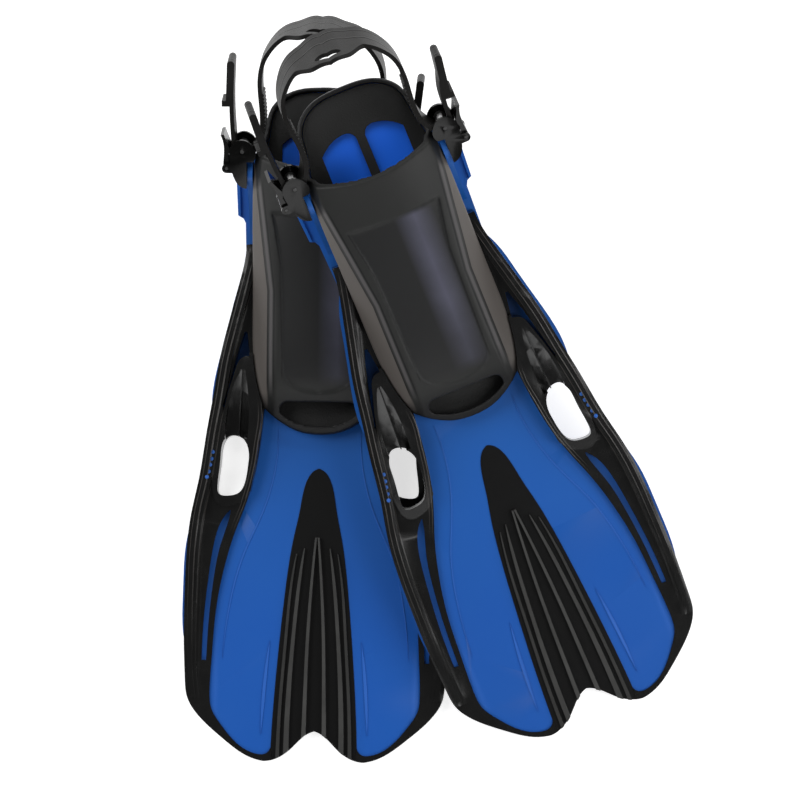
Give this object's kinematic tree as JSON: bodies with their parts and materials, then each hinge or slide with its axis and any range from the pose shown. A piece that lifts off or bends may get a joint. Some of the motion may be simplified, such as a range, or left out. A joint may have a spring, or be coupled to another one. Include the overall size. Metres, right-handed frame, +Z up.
{
  "type": "swim fins",
  "caption": "Pair of open-heel swim fins with a foot pocket, vented two-panel blade, side rails and a swinging buckled heel strap; one fin rests across the other.",
  "frame": {"origin": "on the floor under the middle of the back fin's toe rim, where the blade meets the foot pocket", "axes": "+Z up, +Y from the toe rim towards the back fin's heel, +X to the right of its wearer's foot"},
  "size_m": [0.3785, 0.547, 0.2056],
  "materials": {
    "blue_plastic": "satin blue polypropylene",
    "grey_rubber": "matte dark grey rubber",
    "black_rubber": "matte black rubber",
    "black_elastomer": "glossy black elastomer",
    "strap_rubber": "satin dark grey rubber",
    "buckle_plastic": "gloss black acetal",
    "pin_plastic": "gloss black acetal",
    "pin_metal": "stainless steel pin",
    "roller_metal": "brushed stainless tube"
  },
  "bodies": {
    "back_fin": {"back_blade_frame": "blue_plastic", "back_foot_pocket": "grey_rubber", "back_insole_pad": "black_rubber", "back_sole_grip": "black_rubber", "back_channel_insert": "black_rubber", "back_rail_right": "black_elastomer", "back_rail_left": "black_elastomer", "back_swivel_pin_right": "pin_plastic", "back_swivel_pin_left": "pin_plastic"},
    "back_strap": {"back_heel_strap": "strap_rubber", "back_buckle_right": "buckle_plastic", "back_buckle_left": "buckle_plastic", "back_lever_pin_right": "pin_metal", "back_lever_pin_left": "pin_metal", "back_roller_pin_right": "pin_metal", "back_roller_pin_left": "pin_metal"},
    "back_lever_right": {"back_lever_right": "buckle_plastic"},
    "back_roller_right": {"back_roller_right": "roller_metal"},
    "back_lever_left": {"back_lever_left": "buckle_plastic"},
    "back_roller_left": {"back_roller_left": "roller_metal"},
    "front_fin": {"front_blade_frame": "blue_plastic", "front_foot_pocket": "grey_rubber", "front_insole_pad": "black_rubber", "front_sole_grip": "black_rubber", "front_channel_insert": "black_rubber", "front_rail_right": "black_elastomer", "front_rail_left": "black_elastomer", "front_swivel_pin_right": "pin_plastic", "front_swivel_pin_left": "pin_plastic"},
    "front_strap": {"front_heel_strap": "strap_rubber", "front_buckle_right": "buckle_plastic", "front_buckle_left": "buckle_plastic", "front_lever_pin_right": "pin_metal", "front_lever_pin_left": "pin_metal", "front_roller_pin_right": "pin_metal", "front_roller_pin_left": "pin_metal"},
    "front_lever_right": {"front_lever_right": "buckle_plastic"},
    "front_roller_right": {"front_roller_right": "roller_metal"},
    "front_lever_left": {"front_lever_left": "buckle_plastic"},
    "front_roller_left": {"front_roller_left": "roller_metal"}
  },
  "joints": [
    {"name": "back_strap_swing", "type": "hinge", "parent": "back_fin", "child": "back_strap", "pos_m": [0, 0.188, 0.038], "axis": [1, 0, 0], "range_deg": [-10, 0]},
    {"name": "back_lever_open_right", "type": "hinge", "parent": "back_strap", "child": "back_lever_right", "pos_m": [0.0702, 0.1944, 0.04085], "axis": [0, 0.4067, -0.9135], "range_deg": [0, 30]},
    {"name": "back_roller_turn_right", "type": "hinge", "parent": "back_strap", "child": "back_roller_right", "pos_m": [0.0586, 0.20627, 0.04614], "axis": [0, -0.4067, 0.9135], "continuous": true},
    {"name": "back_lever_open_left", "type": "hinge", "parent": "back_strap", "child": "back_lever_left", "pos_m": [-0.0702, 0.1944, 0.04085], "axis": [0, -0.4067, 0.9135], "range_deg": [0, 30]},
    {"name": "back_roller_turn_left", "type": "hinge", "parent": "back_strap", "child": "back_roller_left", "pos_m": [-0.0586, 0.20627, 0.04614], "axis": [0, -0.4067, 0.9135], "continuous": true},
    {"name": "front_strap_swing", "type": "hinge", "parent": "front_fin", "child": "front_strap", "pos_m": [0.04322, 0.18044, 0.10837], "axis": [0.9191, 0.3939, 0], "range_deg": [-15, 60]},
    {"name": "front_lever_open_right", "type": "hinge", "parent": "front_strap", "child": "front_lever_right", "pos_m": [0.10546, 0.2134, 0.11233], "axis": [-0.2226, 0.5193, -0.8251], "range_deg": [0, 30]},
    {"name": "front_roller_turn_right", "type": "hinge", "parent": "front_strap", "child": "front_roller_right", "pos_m": [0.09058, 0.21869, 0.11967], "axis": [0.2226, -0.5193, 0.8251], "continuous": true},
    {"name": "front_lever_open_left", "type": "hinge", "parent": "front_strap", "child": "front_lever_left", "pos_m": [-0.02358, 0.1581, 0.11233], "axis": [0.2226, -0.5193, 0.8251], "range_deg": [0, 30]},
    {"name": "front_roller_turn_left", "type": "hinge", "parent": "front_strap", "child": "front_roller_left", "pos_m": [-0.01715, 0.17252, 0.11967], "axis": [0.2226, -0.5193, 0.8251], "continuous": true},
    {"name": "front_fin_lift", "type": "slide", "parent": "back_fin", "child": "front_fin", "axis": [0, 0, 1], "range_m": [0, 0.25]}
  ]
}
